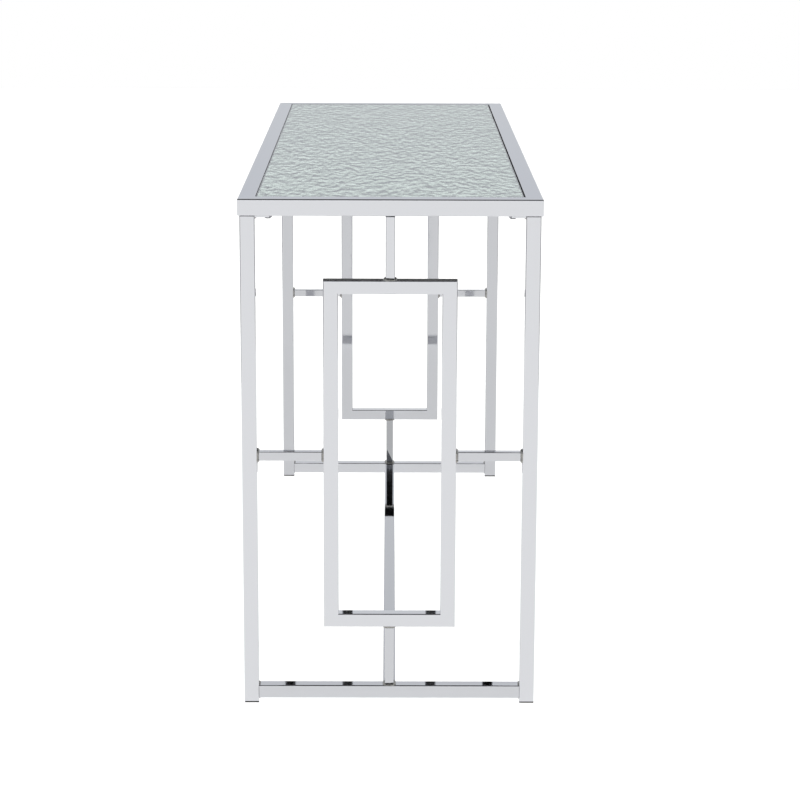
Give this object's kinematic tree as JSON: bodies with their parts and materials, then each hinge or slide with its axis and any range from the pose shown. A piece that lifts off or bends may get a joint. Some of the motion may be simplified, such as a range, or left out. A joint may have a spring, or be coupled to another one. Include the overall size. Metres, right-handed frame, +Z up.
{
  "type": "console table",
  "caption": "Long narrow console table: a textured glass top inset in a polished square-tube frame, on open end frames with a tall central rectangle, tied by a low stretcher.",
  "frame": {"origin": "on the floor, under the middle of the table", "axes": "+X along the table's length, +Y from its front to its back, +Z up"},
  "size_m": [1.372, 0.44, 0.762],
  "materials": {
    "chromed_steel": "mirror-polished chrome plate on steel tube",
    "plated_weld": "chrome plate over rippled weld bead",
    "textured_glass": "clear tempered glass, faint green",
    "silver_foil": "silver foil with a rippled pattern",
    "black_hardboard": "black painted hardboard",
    "black_painted_steel": "satin black paint",
    "black_polyethylene": "moulded black plastic, for the glides and the pads",
    "clear_silicone": "clear soft silicone",
    "zinc_plated_steel": "dull zinc plate"
  },
  "bodies": {
    "root": {"back_ledge": "black_painted_steel", "backing_board": "black_hardboard", "front_ledge": "black_painted_steel", "glass_bumpers": "clear_silicone", "glass_top": "textured_glass", "left_back_foot_glide": "black_polyethylene", "left_back_leg": "chromed_steel", "left_back_leg_pad": "black_polyethylene", "left_back_side_connector": "chromed_steel", "left_back_top_tab": "chromed_steel", "left_bottom_connector": "chromed_steel", "left_bottom_rail": "chromed_steel", "left_connector_pad": "black_polyethylene", "left_cross_bar": "black_painted_steel", "left_end_welds": "plated_weld", "left_front_foot_glide": "black_polyethylene", "left_front_leg": "chromed_steel", "left_front_leg_pad": "black_polyethylene", "left_front_side_connector": "chromed_steel", "left_front_top_tab": "chromed_steel", "left_ledge": "black_painted_steel", "left_rectangle_back": "chromed_steel", "left_rectangle_bottom": "chromed_steel", "left_rectangle_front": "chromed_steel", "left_rectangle_top": "chromed_steel", "left_stretcher_spigot": "zinc_plated_steel", "left_top_connector": "chromed_steel", "right_back_foot_glide": "black_polyethylene", "right_back_leg": "chromed_steel", "right_back_leg_pad": "black_polyethylene", "right_back_side_connector": "chromed_steel", "right_back_top_tab": "chromed_steel", "right_bottom_connector": "chromed_steel", "right_bottom_rail": "chromed_steel", "right_connector_pad": "black_polyethylene", "right_cross_bar": "black_painted_steel", "right_end_welds": "plated_weld", "right_front_foot_glide": "black_polyethylene", "right_front_leg": "chromed_steel", "right_front_leg_pad": "black_polyethylene", "right_front_side_connector": "chromed_steel", "right_front_top_tab": "chromed_steel", "right_ledge": "black_painted_steel", "right_rectangle_back": "chromed_steel", "right_rectangle_bottom": "chromed_steel", "right_rectangle_front": "chromed_steel", "right_rectangle_top": "chromed_steel", "right_stretcher_spigot": "zinc_plated_steel", "right_top_connector": "chromed_steel", "silver_foil": "silver_foil", "stretcher": "chromed_steel", "stretcher_screws": "zinc_plated_steel", "thread_inserts": "zinc_plated_steel", "top_back_rail": "chromed_steel", "top_front_rail": "chromed_steel", "top_left_rail": "chromed_steel", "top_right_rail": "chromed_steel", "top_screws": "zinc_plated_steel"}
  },
  "joints": []
}
